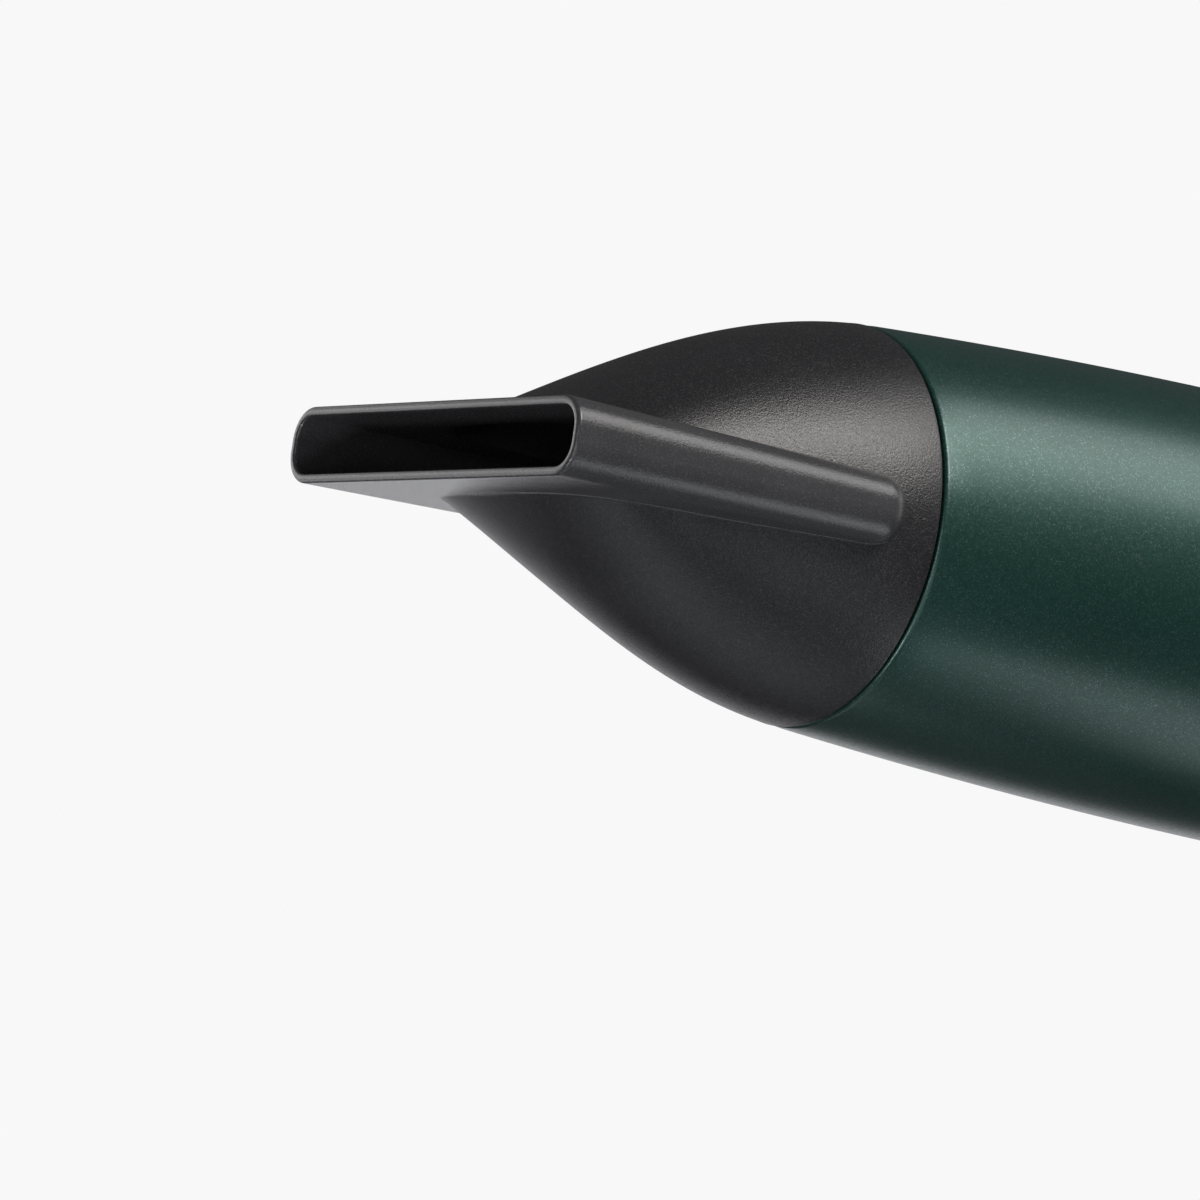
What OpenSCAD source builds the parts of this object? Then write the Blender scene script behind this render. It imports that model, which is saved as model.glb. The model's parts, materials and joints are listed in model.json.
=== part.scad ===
// Hand-held hair dryer with a wide styling nozzle.
// X runs along the barrel and +X is the way the air blows, +Z is up, and the origin is the mouth of
// the mains-lead inlet in the bottom of the handle. Along the barrel, t is the distance behind the
// joint between nozzle and barrel, and u is the distance in front of it. Millimetres throughout.

/* [Barrel] */
// Height of the barrel's axis over the lead inlet
axis_h = 168; // [160:1:180]
// Place of the joint between nozzle and barrel
front_x = 122; // [118:1:126]
// Outer radius at the front
front_r = 33; // [32.5:0.1:33.5]
// How much the radius grows towards the rear
flare = 4.4; // [4:0.1:4.8]
// Length over which it grows
flare_len = 112; // [100:1:120]
// Length of the painted tube
barrel_len = 170; // [168:1:172]
// Wall thickness of the tube
barrel_wall = 2.2; // [2:0.1:2.2]
// Rounding of the tube's front edge
edge_r = 0.8; // [0.5:0.1:1]

/* [Nozzle] */
// Distance from the joint to the slot
nozzle_len = 74.9; // [73:0.1:78]
// Outer half width of the outlet slot
slot_a = 40.9; // [39:0.1:43]
// Outer half height of the outlet slot
slot_b = 6.2; // [6:0.1:7]
// Corner radius of the outlet slot
slot_corner = 5.2; // [4:0.1:5.4]
// Half width of the flat box at its closed rear end
box_rear_a = 37.6; // [36:0.1:38]
// Half height of the flat box at its closed rear end
box_rear_b = 5.4; // [5:0.1:6]
// Distance from the joint to the rear end of the flat box
box_rear_u = 8.2; // [8:0.1:10]
// How far the slot's centre lies under the barrel's axis
droop = 0.7; // [0:0.1:1]
// Wall thickness
nozzle_wall = 1.6; // [1.4:0.1:1.8]
// Distance from the joint to the front of the hood
hood_len = 62.6; // [61:0.1:64]
// Half width of the hood where it meets the flat box
hood_front_a = 27; // [25:0.1:29]
// Width of the groove between nozzle and barrel
groove = 0.6; // [0.5:0.1:0.8]

/* [Handle] */
// Height of the handle's lower edge
handle_base = 10.3; // [10.3:0.1:11]
// Half length of the handle's section at the base, along X
grip_a = 16.5; // [16:0.1:18]
// Half width of the handle's section at the base, along Y
grip_b = 14.2; // [13.5:0.1:15]
// Growth of the section up the grip
grip_taper = 2; // [1:0.1:2.5]
// Growth of the section in the neck under the barrel
grip_flare = 5; // [4:0.1:6]
// Wall thickness
grip_wall = 2.4; // [2.2:0.1:2.6]
// Radius of the lead inlet's bore
inlet_r = 3.7; // [3.5:0.1:3.9]
// Radius of the hanging eye's hole
eye_r = 4; // [3.5:0.1:4.2]

/* [Controls] */
// Travel of the two slide switches
slider_travel = 8; // [7:0.5:8]
// Height of the lower slide switch's knob, in its off position
speed_z = 64; // [63:0.5:66]
// Height of the upper slide switch's knob, in its off position
heat_z = 88; // [87:0.5:90]
// Height of the cool-shot button
cool_z = 108; // [107:0.5:109]
// Radius of the cool-shot button
cool_r = 6; // [5.5:0.1:6]

/* [Airflow] */
// Number of fan blades
blades = 9; // [7:1:11]
// Number of guide vanes behind the motor
vanes = 7; // [5:1:9]
// Number of turns shown of the heating coil
coil_turns = 11; // [8:1:12]

/* [Hidden] */
$fn = 96;

paint_green = [0.07, 0.2, 0.17];
matte_black = [0.11, 0.11, 0.12];
slack = 0.3;               // gap between pieces that move past each other
snug = 0.1;                // gap between pieces that are fixed to each other
handle_top = axis_h - 22;  // the grip's loft ends inside the barrel, which trims it
magnet_count = 6;
magnet_pcd_r = 26.95;

// ---- helpers -------------------------------------------------------------------------------------

// Puts a child on the barrel's axis at t, with the child's +Z pointing to the rear.
module on_axis(t) translate([front_x - t, 0, axis_h]) rotate([0, -90, 0]) children();

// A ring around the barrel's axis.
module ring(r_in, r_out, t0, t1)
    on_axis(t0) difference() {
        cylinder(h = t1 - t0, r = r_out);
        translate([0, 0, -1]) cylinder(h = t1 - t0 + 2, r = r_in);
    }

// A closed solid through equal rings of points, each ring running anticlockwise seen from its far end.
module loft(rings) {
    n = len(rings[0]);
    m = len(rings);
    sides = [for (j = [0 : m - 2], i = [0 : n - 1], half = [0, 1])
        let (a = j * n + i, b = j * n + (i + 1) % n, c = b + n, d = a + n)
        half == 0 ? [a, c, b] : [a, d, c]];
    caps = [[for (i = [0 : n - 1]) i], [for (i = [n - 1 : -1 : 0]) (m - 1) * n + i]];
    polyhedron([for (r = rings) each r], concat(sides, caps));
}

function lerp(a, b, s) = a + (b - a) * s;
function smooth(s) = s * s * (3 - 2 * s);
function signed_pow(v, e) = sign(v) * pow(abs(v), e);

// ---- outlines ------------------------------------------------------------------------------------

function barrel_r(t) = front_r + flare * (1 - pow(1 - min(t, flare_len) / flare_len, 2));

// Height of the nozzle's centre line at x.
function nozzle_z(x) = axis_h - droop * max(0, x - front_x) / nozzle_len;

// A rounded rectangle in the YZ plane at x, anticlockwise seen from +X.
function slot_ring(x, a, b, r, steps = 6) = [
    for (q = [0 : 3], k = [0 : steps])
        let (ang = 90 * q + 90 * k / steps,
             cy = (q == 0 || q == 3 ? 1 : -1) * (a - r),
             cz = (q < 2 ? 1 : -1) * (b - r))
        [x, cy + r * cos(ang), nozzle_z(x) + cz + r * sin(ang)]];

// Half height of the hood at the share s of its length, less an inset.
function hood_b(s) = lerp(front_r, slot_b, 0.23 * s + 0.96 * s * s - 0.19 * s * s * s);
// Half width of the hood: it narrows, then stays wide like the outlet.
function hood_a(s) = lerp(front_r, hood_front_a, smooth(min(1, s / 0.66)));
function hood_ring(u, inset, n = 56) =
    let (s = max(0, u) / hood_len)
    [for (i = [0 : n - 1]) let (ang = 360 * i / n)
        [front_x + u, (hood_a(s) - inset) * cos(ang),
         nozzle_z(front_x + u) + (hood_b(s) - inset) * sin(ang)]];

// The flat box's half width and half height at u.
function box_s(u) = (u - box_rear_u) / (nozzle_len - box_rear_u);
function box_a(u) = lerp(box_rear_a, slot_a, box_s(u));
function box_b(u) = lerp(box_rear_b, slot_b, box_s(u));

// Half sizes of the grip's section at height z.
function grip_s(z) = (z - handle_base) / (handle_top - handle_base);
function grip_x(z) = grip_a + grip_taper * grip_s(z) + grip_flare * pow(grip_s(z), 7);
function grip_y(z) = grip_b + grip_taper * 0.8 * grip_s(z) + grip_flare * 0.5 * pow(grip_s(z), 7);
// A superellipse ring of the grip at height z, anticlockwise seen from above.
function grip_ring(z, inset, n = 40) = [for (i = [0 : n - 1]) let (ang = 360 * i / n)
    [(grip_x(z) - inset) * signed_pow(cos(ang), 0.85),
     (grip_y(z) - inset) * signed_pow(sin(ang), 0.85), z]];

// ---- nozzle --------------------------------------------------------------------------------------

module hood(inset, u0, u1, steps = 14)
    loft([for (k = [0 : steps]) hood_ring(lerp(u0, u1, k / steps), inset)]);

// The flat box, drawn in by inset, with its rear end rounded over round_len.
module flat_box(inset, u1) {
    round_len = 5;
    start = box_rear_u + inset;
    rear = [for (k = [0 : 4]) let (ang = 90 * k / 5, cut = round_len * (1 - sin(ang)))
        slot_ring(front_x + start + round_len * (1 - cos(ang)), box_a(start) - inset - cut,
                  box_b(start) - inset - 0.4 * cut,
                  min(slot_corner, box_b(start) - 0.4 * cut - 0.4) - inset)];
    front = [for (u = [start + round_len, u1])
        slot_ring(front_x + u, box_a(u) - inset, box_b(u) - inset,
                  min(slot_corner, box_b(u) - 0.4) - inset)];
    loft(concat(rear, front));
}

module nozzle_shell() color(matte_black) difference() {
    union() {
        hood(0, groove / 2, hood_len);
        flat_box(0, nozzle_len);
    }
    hood(nozzle_wall, -1, hood_len - nozzle_wall);
    flat_box(nozzle_wall, nozzle_len + 1);
}

// The inner sleeve: a flange inside the shell's rear edge, and the spigot that plugs into the ring.
module nozzle_spigot() color(matte_black) {
    ring(23.6, 30.9, -2.6, -0.8);
    ring(23.6, 25.1, -0.8, 13);
    ring(23.6, 25.1, -9, -2.6);
}

module nozzle_steel_ring() color("silver") ring(25.5, 27.9, -0.7, 1.8);

module magnet_places() for (i = [0 : magnet_count - 1])
    on_axis(2.1) rotate(360 * i / magnet_count) translate([magnet_pcd_r, 0, 0]) children();

module swivel_ring() color(matte_black) difference() {
    ring(25.4, 28.5, 2.1, 16.7);
    magnet_places() translate([0, 0, -1]) cylinder(h = 4.2, r = 1.35, $fn = 32);
}

module ring_magnets() color("silver")
    magnet_places() translate([0, 0, 0.1]) cylinder(h = 3, r = 1.3, $fn = 32);

// ---- barrel --------------------------------------------------------------------------------------

module barrel_shell() color(paint_green) difference() {
    on_axis(0) rotate_extrude($fn = 180) polygon(concat(
        [for (k = [0 : 4]) let (ang = 90 * k / 4)
            [barrel_r(0) - edge_r * (1 - sin(ang)), groove / 2 + edge_r * (1 - cos(ang))]],
        [for (k = [1 : 14]) let (t = barrel_len * k / 14) [barrel_r(t), t]],
        [for (k = [14 : -1 : 1]) let (t = barrel_len * k / 14) [barrel_r(t) - barrel_wall, t]],
        [[barrel_r(0) - barrel_wall, groove / 2]]));
    // way through to the handle for the wiring
    translate([0, 0, axis_h - 45]) cylinder(h = 20, r = 9);
    neck_screw_places() {
        translate([0, 0, -20]) cylinder(h = 40, r = 1.7, $fn = 32);
        cylinder(h = 10, r = 2.9, $fn = 32);
    }
}

// The neck screws' heads sit on this plane.
module neck_screw_places() for (side = [-1, 1])
    translate([side * 14.6, 0, axis_h - barrel_r(flare_len) + 0.9]) children();

module outlet_ring() color(matte_black) {
    ring(28.8, 30.6, 1.8, 17);
    ring(28.2, 30.6, 1, 1.8);
    ring(22.9, 30.6, 17, 18.8);
}

module outlet_grille() color(matte_black) {
    for (r = [5.5, 11.5, 17.5]) ring(r - 0.7, r + 0.7, 19, 20.6);
    ring(22.9, 28.4, 19, 20.6);
    for (a = [0 : 45 : 135])
        on_axis(19) rotate(a) difference() {
            translate([-23.4, -0.6, 0]) cube([46.8, 1.2, 1.6]);
            cylinder(h = 10, r = 3.2, center = true);
        }
    ring(1.2, 3.3, 19, 20.6);
    needle_place(19) difference() {
        cylinder(h = 3.4, r = 2.2, $fn = 32);
        translate([0, 0, -1]) cylinder(h = 6, r = 0.6, $fn = 24);
    }
}

// ---- heater --------------------------------------------------------------------------------------

module heat_shield() color("tan") ring(27.2, 27.7, 22, 86);

module mica_cross() color("wheat")
    on_axis(25.5) {
        translate([-19.4, -0.4, 0]) cube([38.8, 0.8, 54]);
        for (side = [-1, 1]) translate([-0.4, side > 0 ? 0.4 : -19.4, 0]) cube([0.8, 19, 54]);
    }

module mica_discs() color("wheat") for (t = [24.6, 80.1]) {
    ring(22.8, 26.9, t, t + 0.8);
    for (a = [0, 90]) on_axis(t) rotate(a) translate([-23.2, -1.6, 0]) cube([46.4, 3.2, 0.8]);
}

// Turns of resistance wire around the edges of the mica cross.
module heating_coils() color("silver") for (i = [0 : coil_turns - 1])
    on_axis(30 + 46 * i / (coil_turns - 1))
        rotate_extrude($fn = 72) translate([20.3, 0]) circle(r = 0.6, $fn = 16);

module thermostat() color("silver") on_axis(34) translate([4, 0.6, 0]) cube([7, 4, 12]);

module thermal_fuse() color("white")
    on_axis(56) translate([-8, 3, 0]) cylinder(h = 12, r = 1.8, $fn = 32);

needle_r = 20.3;
module needle_place(t) on_axis(t) rotate(22.5) translate([needle_r, 0, 0]) children();

module ion_needle() color("silver") needle_place(14) {
    cylinder(h = 3, r1 = 0.1, r2 = 0.5, $fn = 24);
    translate([0, 0, 3]) cylinder(h = 6.4, r = 0.5, $fn = 24);
}

// ---- fan and motor -------------------------------------------------------------------------------

module fan_duct() color(matte_black) {
    ring(31.4, 33, 92, 152);
    difference() {
        ring(33, 34.9, 92, 94);
        translate([front_x - 96, -6, axis_h - 36]) cube([6, 12, 2.9]);
    }
    ring(33, 34.9, 149, 151);
    ring(16.6, 18.2, 92, 128);
    on_axis(92) difference() {
        cylinder(h = 1.6, r = 16.6);
        for (i = [0 : 5]) rotate(60 * i) translate([11, 0, -1]) cylinder(h = 4, r = 2.2, $fn = 32);
        translate([0, 0, -1]) cylinder(h = 4, r = 3.6, $fn = 48);
    }
    for (i = [0 : vanes - 1])
        on_axis(104) rotate(360 * i / vanes) translate([18, -0.7, 0]) cube([13.6, 1.4, 22]);
}

module motor_damper() color("dimgray") ring(14.2, 16.4, 96, 124);

module motor_can() color("silver") {
    ring(12.9, 14.1, 95, 126);
    ring(3.1, 12.9, 95, 96.2);
}

module motor_end_cap() color(matte_black) ring(3.1, 14, 126.1, 127.8);

// Two arc magnets inside the can.
module motor_magnets() color("dimgray") intersection() {
    ring(10.2, 12.8, 99, 117);
    for (side = [-1, 1]) on_axis(99) translate([side > 0 ? 4 : -14, -14, 0]) cube([10, 28, 18]);
}

module motor_bushes() color("goldenrod") {
    ring(1.55, 3, 94.6, 97.4);
    ring(1.55, 3, 125.4, 129);
}

module carbon_brushes() color("dimgray") for (side = [-1, 1])
    on_axis(120.5) translate([side > 0 ? 3.9 : -9.9, -1.5, 0]) cube([6, 3, 3]);

module motor_shaft() color("silver") on_axis(93.8) cylinder(h = 56.2, r = 1.5, $fn = 48);

module rotor_core() color("gray") on_axis(100) difference() {
    union() {
        cylinder(h = 16, r = 5);
        for (i = [0 : 2]) rotate(120 * i) {
            translate([4, -1.6, 0]) cube([4.6, 3.2, 16]);
            intersection() {
                cylinder(h = 16, r = 9.8);
                translate([8.4, -6.4, 0]) cube([4, 12.8, 16]);
            }
        }
    }
    translate([0, 0, -1]) cylinder(h = 20, r = 1.52, $fn = 48);
}

// Copper round each of the three poles, one block on each flank.
module rotor_windings() color("peru") for (i = [0 : 2], side = [-1, 1])
    on_axis(99.2) rotate(120 * i) translate([5.4, side > 0 ? 1.7 : -4.1, 0]) cube([2.9, 2.4, 17.6]);

module commutator() color("peru") ring(1.52, 3.6, 119, 124.6);

module fan_impeller() color(matte_black) {
    on_axis(133) difference() {
        union() {
            cylinder(h = 13, r = 11.5);
            translate([0, 0, 13]) cylinder(h = 2.4, r1 = 11.5, r2 = 8);
        }
        translate([0, 0, -1]) cylinder(h = 20, r = 1.52, $fn = 48);
        translate([0, 0, -0.01]) difference() {
            cylinder(h = 10, r = 9.8);
            cylinder(h = 10, r = 3.4);
        }
    }
    intersection() {
        ring(11.3, 30.6, 133.5, 146);
        for (i = [0 : blades - 1]) on_axis(139.6) rotate(360 * i / blades)
            rotate([38, 0, 0]) translate([10.8, -0.65, -12]) cube([22, 1.3, 24]);
    }
}

// ---- rear intake ---------------------------------------------------------------------------------

module rear_ring() color(matte_black) {
    on_axis(0) rotate_extrude($fn = 180) polygon(concat(
        [[31, 170.2], [barrel_r(170) - 0.1, 170.2]],
        [for (k = [0 : 3]) let (ang = 90 * k / 3)
            [barrel_r(170) - 0.9 + 0.8 * cos(ang), 173.6 + 0.8 * sin(ang)]],
        [[31, 174.4]]));
    ring(31, 35, 158, 170.2);
}

filter_seat = 174.9;
filter_depth = 9;
function cover_r(t) = 28 + 8.9 * sqrt(max(0, 1 - pow((t - filter_seat) / filter_depth, 2)));

// Domed cover with rings of round intake holes and a rear face.
module filter_cover() color(matte_black) {
    difference() {
        on_axis(0) rotate_extrude($fn = 180) polygon(concat(
            [for (k = [0 : 8]) let (t = filter_seat + filter_depth * sin(90 * k / 8)) [cover_r(t), t]],
            [[0, filter_seat + filter_depth], [0, filter_seat + filter_depth - 1.8]],
            [for (k = [8 : -1 : 0]) let (t = filter_seat + (filter_depth - 1.8) * sin(90 * k / 8))
                [25.2 + 8.9 * sqrt(max(0, 1 - pow((t - filter_seat) / (filter_depth - 1.8), 2))), t]]));
        for (row = [1 : 5], i = [0 : 6 * row - 1])
            on_axis(filter_seat + filter_depth - 3) rotate(60 * i / row + 8 * row)
                translate([5 * row, 0, 0]) cylinder(h = 5, r = 1.75, $fn = 24);
    }
    ring(28.9, 30.7, 166, filter_seat + 0.6);
    ring(28.9, 34.4, filter_seat, filter_seat + 1.4);
    ring(26.4, 29.2, 170, 171.2);
}

module filter_mesh() color("silver") on_axis(169.6) cylinder(h = 0.3, r = 28.5);

module filter_clamp_ring() color(matte_black) ring(26.4, 28.8, 167.4, 169.5);

// ---- handle --------------------------------------------------------------------------------------

module grip(inset, z0, z1, steps = 13)
    loft([for (k = [0 : steps]) grip_ring(lerp(z0, z1, k / steps), inset)]);

// The barrel's outside, grown by a gap, to trim the handle to its saddle.
module barrel_trim() on_axis(0) rotate_extrude($fn = 120) polygon(concat(
    [for (k = [0 : 6]) let (t = 70 + 80 * k / 6) [barrel_r(t) + snug, t]], [[0, 150], [0, 70]]));

module handle_screw_places() for (y = [-8, 8], z = [24, 122.5])
    translate([0, y, z]) rotate([0, 90, 0]) children();

// side is 1 for the front half and -1 for the back half.
module handle_half(side) difference() {
    union() {
        difference() {
            intersection() {
                grip(0, handle_base, handle_top);
                translate([side > 0 ? snug / 2 : -60, -40, 0]) cube([60 - snug / 2, 80, 200]);
            }
            grip(grip_wall, handle_base - 1, handle_top + 1);
        }
        intersection() {
            grip(1, handle_base, handle_top);
            handle_screw_places()
                translate([0, 0, side > 0 ? snug / 2 : -40])
                    cylinder(h = 40 - snug / 2, r = side > 0 ? 3 : 4, $fn = 40);
        }
        intersection() {
            grip(1, 118, handle_top);
            translate([side * 14.6, 0, 117]) cylinder(h = 40, r = 3.2, $fn = 40);
        }
    }
    barrel_trim();
    // screw ways: a pilot hole in the front half, and a head recess in the back half
    handle_screw_places() {
        translate([0, 0, -30]) cylinder(h = side > 0 ? 43 : 60, r = side > 0 ? 1.35 : 1.7, $fn = 32);
        translate([0, 0, -50]) cylinder(h = 40, r = side > 0 ? 0.1 : 2.9, $fn = 32);
    }
    translate([side * 14.6, 0, 119]) cylinder(h = 60, r = 1.35, $fn = 32);
}

module handle_front() color(paint_green) difference() {
    handle_half(1);
    translate([5, 0, cool_z]) rotate([0, 90, 0]) cylinder(h = 30, r = cool_r + slack, $fn = 64);
}

module handle_back() color(paint_green) difference() {
    handle_half(-1);
    panel_block(snug, 1.4);
    slider_slots(0.6, 30);
}

module handle_screws() color("silver") handle_screw_places() {
    translate([0, 0, -9.9]) cylinder(h = 20, r = 1.3, $fn = 32);
    translate([0, 0, -12.4]) cylinder(h = 2.4, r = 2.6, $fn = 40);
    translate([0, 0, -10.1]) cylinder(h = 0.4, r = 1.3, $fn = 32);
}

module neck_screws() color("silver") neck_screw_places() {
    translate([0, 0, -10]) cylinder(h = 10.05, r = 1.3, $fn = 32);
    translate([0, 0, 0.05]) cylinder(h = 1.1, r = 2.6, $fn = 40);
}

// ---- controls ------------------------------------------------------------------------------------

panel_z0 = 54;
panel_z1 = 106;

// The upright slab that the control panel and its recess are cut from.
module panel_slab(grow) hull() for (z = [panel_z0 + 8, panel_z1 - 8])
    translate([-30, 0, z]) rotate([0, 90, 0]) cylinder(h = 24, r = 8 + grow, $fn = 64);

// What the panel takes out of the handle's back, from its surface down to depth.
module panel_block(grow, depth) difference() {
    panel_slab(grow);
    grip(depth, panel_z0 - 4, panel_z1 + 4, 6);
}

module slider_slots(grow, reach) for (z = [speed_z, heat_z])
    translate([-30, -1.5 - grow, z - 1.5 - grow])
        cube([reach, 3 + 2 * grow, 3 + 2 * grow + slider_travel]);

module switch_panel() color([0.05, 0.05, 0.055]) difference() {
    intersection() {
        panel_slab(0);
        grip(0.4, panel_z0 - 4, panel_z1 + 4, 6);
    }
    grip(1.3, panel_z0 - 5, panel_z1 + 5, 6);
    slider_slots(slack, 30);
}

// A knob outside the panel and the stem that reaches into the switch and works its lever.
module slider(z) {
    intersection() {
        translate([-24, -5, z - 5]) cube([8, 10, 10]);
        difference() {
            grip(-2, z - 8, z + 8, 2);
            grip(-0.2, z - 20, z + 20, 2);
        }
    }
    translate([-18.8, -1.5, z - 1.5]) cube([10.4, 3, 3]);
}

module speed_slider() color("gainsboro") slider(speed_z);

module heat_slider() color("gainsboro") slider(heat_z);

module switch_board() color("darkgreen") translate([-5.6, -8, 52]) cube([1.2, 16, 64]);

// A slide switch's body on the board, with the slot that its lever runs in.
module slide_switch(z) difference() {
    translate([-10.8, -4, z - 5]) cube([5.1, 8, 10 + slider_travel]);
    translate([-12, -1.9, z - 2.2]) cube([4.2, 3.8, 4.4 + slider_travel]);
}

module speed_switch() color("dimgray") slide_switch(speed_z);

module heat_switch() color("dimgray") slide_switch(heat_z);

cool_travel = 2.5;
cool_face = grip_x(cool_z) + 2.6;

module cool_button() color("gainsboro") translate([0, 0, cool_z]) rotate([0, 90, 0]) {
    rotate_extrude($fn = 72) polygon(concat(
        [[0, 8.7], [1.9, 8.7], [1.9, 12.2], [cool_r + 1.2, 12.2], [cool_r + 1.2, 13.8],
         [cool_r, 13.8]],
        [for (k = [0 : 5]) let (ang = 90 * k / 5)
            [cool_r - 1.2 + 1.2 * cos(ang), cool_face - 1.2 + 1.2 * sin(ang)]],
        [[0, cool_face]]));
}

// The button's return spring, shown as closed turns.
module cool_spring() color("silver") for (k = [0 : 6])
    translate([2.4 + k * 1.55, 0, cool_z]) rotate([0, 90, 0])
        rotate_extrude($fn = 48) translate([3.6, 0]) circle(r = 0.35, $fn = 16);

module cool_switch() color("dimgray") {
    translate([-4.3, -5, cool_z - 5]) cube([6.2, 10, 10]);
    translate([1.9, 0, cool_z]) rotate([0, 90, 0]) cylinder(h = 4, r = 2, $fn = 40);
}

module ion_module() color("dimgray") translate([-7, -8, 32]) cube([14, 16, 17]);

// A round lead through a list of points, with a slightly thicker ball at each bend.
module lead(points, r) for (i = [0 : len(points) - 2]) {
    d = points[i + 1] - points[i];
    translate(points[i]) {
        rotate([0, acos(d[2] / norm(d)), atan2(d[1], d[0])]) cylinder(h = norm(d), r = r, $fn = 24);
        sphere(r = 1.1 * r, $fn = 24);
    }
}

// Leads from the ion module to the board, and from the board up and forward to the heater.
wire_z = axis_h - 34.1;
module lead_wires() color("firebrick") {
    for (y = [-4, 4]) lead([[-2, y, 49.9], [-2, y, 53], [-3.6, y, 58], [-3.6, y, 70]], 0.6);
    for (y = [-3, 3]) lead([[-3.7, y, 84], [-3.7, y, 98], [-3.7, 2.3 * y, 101], [-3.7, 2.3 * y, 114],
        [-2, y, 118], [0, y, 124], [0, y, wire_z - 2], [2, y, wire_z], [34, y, wire_z], [39, y, wire_z + 2],
        [42, y, wire_z + 4.6]], 0.5);
}

// ---- lower end -----------------------------------------------------------------------------------

module cord_clamp() color(matte_black) difference() {
    translate([-12.4, -5.6, 13.4]) cube([24.8, 11.2, 3.2]);
    translate([0, 0, 10]) cylinder(h = 10, r = inlet_r, $fn = 64);
    clamp_screw_places() translate([0, 0, -5]) cylinder(h = 20, r = 1.4, $fn = 32);
}

module clamp_screw_places() for (side = [-1, 1]) translate([side * 8.6, 0, 13.4]) children();

module clamp_screws() color("silver") clamp_screw_places() {
    translate([0, 0, -5.4]) cylinder(h = 8.65, r = 1.2, $fn = 32);
    translate([0, 0, 3.25]) cylinder(h = 1.4, r = 2.3, $fn = 40);
}

// The cap that closes the handle, with the hanging eye at its back edge.
module end_cap() color(matte_black) difference() {
    union() {
        loft([grip_edge(1.8, 1.4), grip_edge(2.4, 0.5), grip_edge(3.6, 0.05),
              grip_ring_low(10), grip_ring_low(10.2)]);
        loft([for (z = [10.2, 13]) [for (p = grip_ring(handle_base, grip_wall + snug)) [p[0], p[1], z]]]);
        difference() {
            hull() {
                translate([-13.2, 2.2, -4.2]) rotate([90, 0, 0]) cylinder(h = 4.4, r = 6.2, $fn = 64);
                translate([-16, -2.2, 2.4]) cube([8.6, 4.4, 2]);
            }
            translate([-13.2, 10, -4.2]) rotate([90, 0, 0]) cylinder(h = 20, r = eye_r, $fn = 64);
        }
    }
    translate([0, 0, -5]) cylinder(h = 30, r = 5.2, $fn = 64);
    translate([0, 0, -5]) cylinder(h = 7, r = 6.8, $fn = 64);
    clamp_screw_places() translate([0, 0, -5.6]) cylinder(h = 20, r = 1.25, $fn = 32);
}

// The cap's outline at height z, drawn in to round its lower edge.
function grip_edge(z, inset) = [for (p = grip_ring(handle_base, inset)) [p[0], p[1], z]];
function grip_ring_low(z) = grip_edge(z, 0);

module cord_gland() color("dimgray") difference() {
    union() {
        cylinder(h = 2, r = 6.7, $fn = 64);
        cylinder(h = 12.9, r = 5.1, $fn = 64);
    }
    translate([0, 0, -1]) cylinder(h = 20, r = inlet_r, $fn = 64);
}

nozzle_shell();
nozzle_spigot();
nozzle_steel_ring();
swivel_ring();
ring_magnets();
barrel_shell();
outlet_ring();
outlet_grille();
heat_shield();
mica_cross();
mica_discs();
heating_coils();
thermostat();
thermal_fuse();
ion_needle();
fan_duct();
motor_damper();
motor_can();
motor_end_cap();
motor_magnets();
motor_bushes();
carbon_brushes();
motor_shaft();
rotor_core();
rotor_windings();
commutator();
fan_impeller();
rear_ring();
filter_cover();
filter_mesh();
filter_clamp_ring();
handle_front();
handle_back();
handle_screws();
neck_screws();
switch_panel();
speed_slider();
heat_slider();
switch_board();
speed_switch();
heat_switch();
cool_button();
cool_spring();
cool_switch();
ion_module();
lead_wires();
cord_clamp();
clamp_screws();
end_cap();
cord_gland();
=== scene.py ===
import json
import math

import bmesh
import bpy
import numpy as np
from mathutils import Matrix, Vector


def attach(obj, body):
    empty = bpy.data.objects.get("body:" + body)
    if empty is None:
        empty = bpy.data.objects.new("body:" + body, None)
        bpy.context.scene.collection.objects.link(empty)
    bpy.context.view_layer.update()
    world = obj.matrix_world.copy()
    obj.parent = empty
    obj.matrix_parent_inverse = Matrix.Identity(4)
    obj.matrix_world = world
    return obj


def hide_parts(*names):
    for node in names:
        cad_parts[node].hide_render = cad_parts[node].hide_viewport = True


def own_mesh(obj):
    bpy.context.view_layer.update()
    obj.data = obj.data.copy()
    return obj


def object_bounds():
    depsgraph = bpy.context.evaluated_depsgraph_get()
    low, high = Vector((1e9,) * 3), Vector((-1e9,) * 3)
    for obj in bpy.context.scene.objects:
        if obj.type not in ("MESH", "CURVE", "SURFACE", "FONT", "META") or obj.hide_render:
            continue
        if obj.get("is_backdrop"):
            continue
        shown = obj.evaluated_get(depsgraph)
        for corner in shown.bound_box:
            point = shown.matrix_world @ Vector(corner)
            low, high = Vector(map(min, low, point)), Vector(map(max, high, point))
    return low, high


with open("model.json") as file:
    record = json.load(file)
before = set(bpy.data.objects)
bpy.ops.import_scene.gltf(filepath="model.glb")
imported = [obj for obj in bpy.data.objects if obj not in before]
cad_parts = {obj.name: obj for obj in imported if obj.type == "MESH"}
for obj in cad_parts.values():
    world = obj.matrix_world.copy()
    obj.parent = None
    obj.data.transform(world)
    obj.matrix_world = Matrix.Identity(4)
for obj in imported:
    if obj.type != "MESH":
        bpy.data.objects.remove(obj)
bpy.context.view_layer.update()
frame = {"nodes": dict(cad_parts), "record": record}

MM = 0.001
AXIS_H = 168.0          # height of the barrel's axis
FRONT_X = 122.0         # joint between nozzle and barrel
FRONT_R = 33.0
FLARE, FLARE_LEN = 4.4, 112.0
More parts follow.
